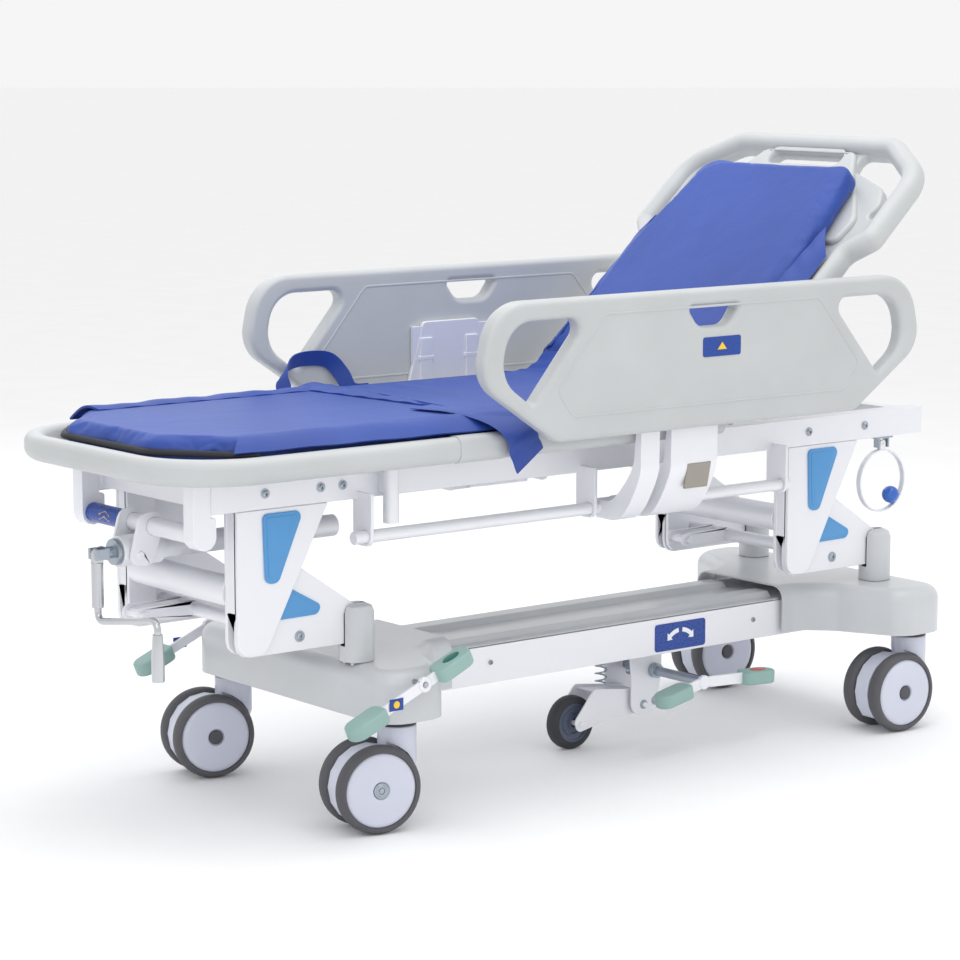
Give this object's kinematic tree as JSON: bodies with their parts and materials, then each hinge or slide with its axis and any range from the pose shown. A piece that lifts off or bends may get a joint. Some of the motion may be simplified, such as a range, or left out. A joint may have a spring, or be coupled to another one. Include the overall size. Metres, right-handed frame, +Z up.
{
  "type": "ambulance cot",
  "caption": "Patient transfer cot: height-adjusting frame on twin-disc castors, raised back section, folding side rails, crank, brake and steering pedals and a blue mattress.",
  "frame": {"origin": "on the floor under the middle of the cot's box", "axes": "+Z up, +X towards the head end, +Y towards the far side, away from the steering pedal"},
  "size_m": [1.752, 0.714, 1.1144],
  "materials": {
    "white_powder_coat": "cool white powder coat",
    "warm_grey_plastic": "satin moulded plastic",
    "castor_white": "satin",
    "tyre_grey": "dark grey tyre on white discs",
    "royal_blue_fabric": "coated cloth",
    "chrome": "polished",
    "zinc_steel": "zinc plated",
    "ball_blue": "gloss",
    "pedal_white": "white lever with grey-green pads"
  },
  "bodies": {
    "root": {"base_frame": "white_powder_coat", "beam_cover": "warm_grey_plastic", "base_cover_foot": "warm_grey_plastic", "base_cover_head": "warm_grey_plastic", "arm_cap_foot_near": "warm_grey_plastic", "arm_cap_foot_far": "warm_grey_plastic", "arm_cap_head_near": "warm_grey_plastic", "arm_cap_head_far": "warm_grey_plastic", "steer_bracket": "white_powder_coat", "steer_spring": "zinc_steel"},
    "lift_arms_foot": {"lift_arms_foot": "white_powder_coat"},
    "lift_arms_head": {"lift_arms_head": "white_powder_coat"},
    "bed": {"bed_frame": "white_powder_coat", "lift_leg_foot_near": "white_powder_coat", "lift_leg_foot_far": "white_powder_coat", "lift_leg_head_near": "white_powder_coat", "lift_leg_head_far": "white_powder_coat", "leg_tube_foot": "white_powder_coat", "leg_tube_head": "white_powder_coat", "bumper_bar": "white_powder_coat", "crank_housing": "white_powder_coat", "lift_screw_tube": "white_powder_coat", "pole_socket": "white_powder_coat", "ring_hanger": "white_powder_coat", "deck_leg_section": "warm_grey_plastic", "deck_seat_section": "warm_grey_plastic", "mattress_leg": "royal_blue_fabric", "rail_shaft_near": "white_powder_coat", "rail_shaft_far": "white_powder_coat"},
    "back": {"back_section": "warm_grey_plastic", "mattress_back": "royal_blue_fabric"},
    "ring": {"ring_hook": "white_powder_coat", "ring_ball": "ball_blue"},
    "rail_near": {"side_rail_near": "warm_grey_plastic", "rail_arms_near": "white_powder_coat"},
    "rail_far": {"side_rail_far": "warm_grey_plastic", "rail_arms_far": "white_powder_coat"},
    "crank_shaft": {"crank_shaft": "chrome"},
    "crank": {"crank": "chrome"},
    "crank_grip": {"crank_grip": "chrome"},
    "brake": {"brake_shaft": "zinc_steel", "brake_pedal_near": "pedal_white", "brake_pedal_far": "pedal_white"},
    "steer_fork": {"steer_fork": "white_powder_coat"},
    "steer_wheel": {"steer_wheel": "tyre_grey"},
    "steer_pedal": {"steer_shaft": "zinc_steel", "steer_pedal": "pedal_white"},
    "castor_foot_near": {"castor_housing_foot_near": "castor_white"},
    "castor_wheel_foot_near": {"castor_wheel_foot_near": "tyre_grey"},
    "castor_foot_far": {"castor_housing_foot_far": "castor_white"},
    "castor_wheel_foot_far": {"castor_wheel_foot_far": "tyre_grey"},
    "castor_head_near": {"castor_housing_head_near": "castor_white"},
    "castor_wheel_head_near": {"castor_wheel_head_near": "tyre_grey"},
    "castor_head_far": {"castor_housing_head_far": "castor_white"},
    "castor_wheel_head_far": {"castor_wheel_head_far": "tyre_grey"}
  },
  "joints": [
    {"name": "castor_foot_near_swivel", "type": "hinge", "parent": "root", "child": "castor_foot_near", "pos_m": [-0.425, -0.244, 0.17], "axis": [0, 0, 1], "continuous": true},
    {"name": "castor_foot_near_roll", "type": "hinge", "parent": "castor_foot_near", "child": "castor_wheel_foot_near", "pos_m": [-0.47391, -0.2336, 0.075], "axis": [0.2079, 0.9781, 0], "continuous": true},
    {"name": "castor_foot_far_swivel", "type": "hinge", "parent": "root", "child": "castor_foot_far", "pos_m": [-0.425, 0.244, 0.17], "axis": [0, 0, 1], "continuous": true},
    {"name": "castor_foot_far_roll", "type": "hinge", "parent": "castor_foot_far", "child": "castor_wheel_foot_far", "pos_m": [-0.47352, 0.2561, 0.075], "axis": [0.2419, 0.9703, 0], "continuous": true},
    {"name": "castor_head_near_swivel", "type": "hinge", "parent": "root", "child": "castor_head_near", "pos_m": [0.789, -0.244, 0.17], "axis": [0, 0, 1], "continuous": true},
    {"name": "castor_head_near_roll", "type": "hinge", "parent": "castor_head_near", "child": "castor_wheel_head_near", "pos_m": [0.73907, -0.24138, 0.075], "axis": [0.0523, 0.9986, 0], "continuous": true},
    {"name": "castor_head_far_swivel", "type": "hinge", "parent": "root", "child": "castor_head_far", "pos_m": [0.789, 0.244, 0.17], "axis": [0, 0, 1], "continuous": true},
    {"name": "castor_head_far_roll", "type": "hinge", "parent": "castor_head_far", "child": "castor_wheel_head_far", "pos_m": [0.73919, 0.24836, 0.075], "axis": [0.0872, 0.9962, 0], "continuous": true},
    {"name": "lift", "type": "hinge", "parent": "root", "child": "lift_arms_foot", "pos_m": [-0.451, 0, 0.338], "axis": [0, 1, 0], "range_deg": [0, 44]},
    {"name": "lift_head_arms", "type": "hinge", "parent": "root", "child": "lift_arms_head", "pos_m": [0.772, 0, 0.338], "axis": [0, 1, 0], "range_deg": [0, 44]},
    {"name": "bed_level", "type": "hinge", "parent": "lift_arms_foot", "child": "bed", "pos_m": [-0.673, 0, 0.338], "axis": [0, 1, 0], "range_deg": [-44, 0]},
    {"name": "backrest", "type": "hinge", "parent": "bed", "child": "back", "pos_m": [0.268, 0, 0.648], "axis": [0, -1, 0], "range_deg": [-43, 32]},
    {"name": "rail_near_fold", "type": "hinge", "parent": "bed", "child": "rail_near", "pos_m": [0.178, -0.208, 0.487], "axis": [1, 0, 0], "range_deg": [0, 95]},
    {"name": "rail_far_fold", "type": "hinge", "parent": "bed", "child": "rail_far", "pos_m": [0.178, 0.208, 0.487], "axis": [-1, 0, 0], "range_deg": [0, 95]},
    {"name": "ring_swing", "type": "hinge", "parent": "bed", "child": "ring", "pos_m": [0.782, -0.17, 0.5327], "axis": [1, 0, 0], "range_deg": [-40, 40]},
    {"name": "crank_turn", "type": "hinge", "parent": "bed", "child": "crank_shaft", "pos_m": [-0.823, 0, 0.472], "axis": [1, 0, 0], "range_deg": [-60, 145]},
    {"name": "crank_fold_out", "type": "hinge", "parent": "crank_shaft", "child": "crank", "pos_m": [-0.849, 0, 0.472], "axis": [0, 1, 0], "range_deg": [0, 80]},
    {"name": "crank_grip_spin", "type": "hinge", "parent": "crank", "child": "crank_grip", "pos_m": [-0.849, -0.18, 0.367], "axis": [0, 0, 1], "continuous": true},
    {"name": "brake_pedals", "type": "hinge", "parent": "root", "child": "brake", "pos_m": [-0.425, 0, 0.253], "axis": [0, 1, 0], "range_deg": [0, 32]},
    {"name": "steer_pedal_tilt", "type": "hinge", "parent": "root", "child": "steer_pedal", "pos_m": [0.324, 0, 0.132], "axis": [0, 1, 0], "range_deg": [0, 16]},
    {"name": "steer_fork_lift", "type": "hinge", "parent": "root", "child": "steer_fork", "pos_m": [0.3, 0, 0.07], "axis": [0, 1, 0], "range_deg": [0, 8], "deforming": ["steer_spring"]},
    {"name": "steer_wheel_roll", "type": "hinge", "parent": "steer_fork", "child": "steer_wheel", "pos_m": [0.155, 0, 0.05], "axis": [0, 1, 0], "continuous": true}
  ],
  "couplings": [
    {"joint": "lift_head_arms", "follows": "lift", "ratio": 1},
    {"joint": "bed_level", "follows": "lift", "ratio": -1},
    {"joint": "steer_fork_lift", "follows": "steer_pedal_tilt", "ratio": 0.5}
  ]
}
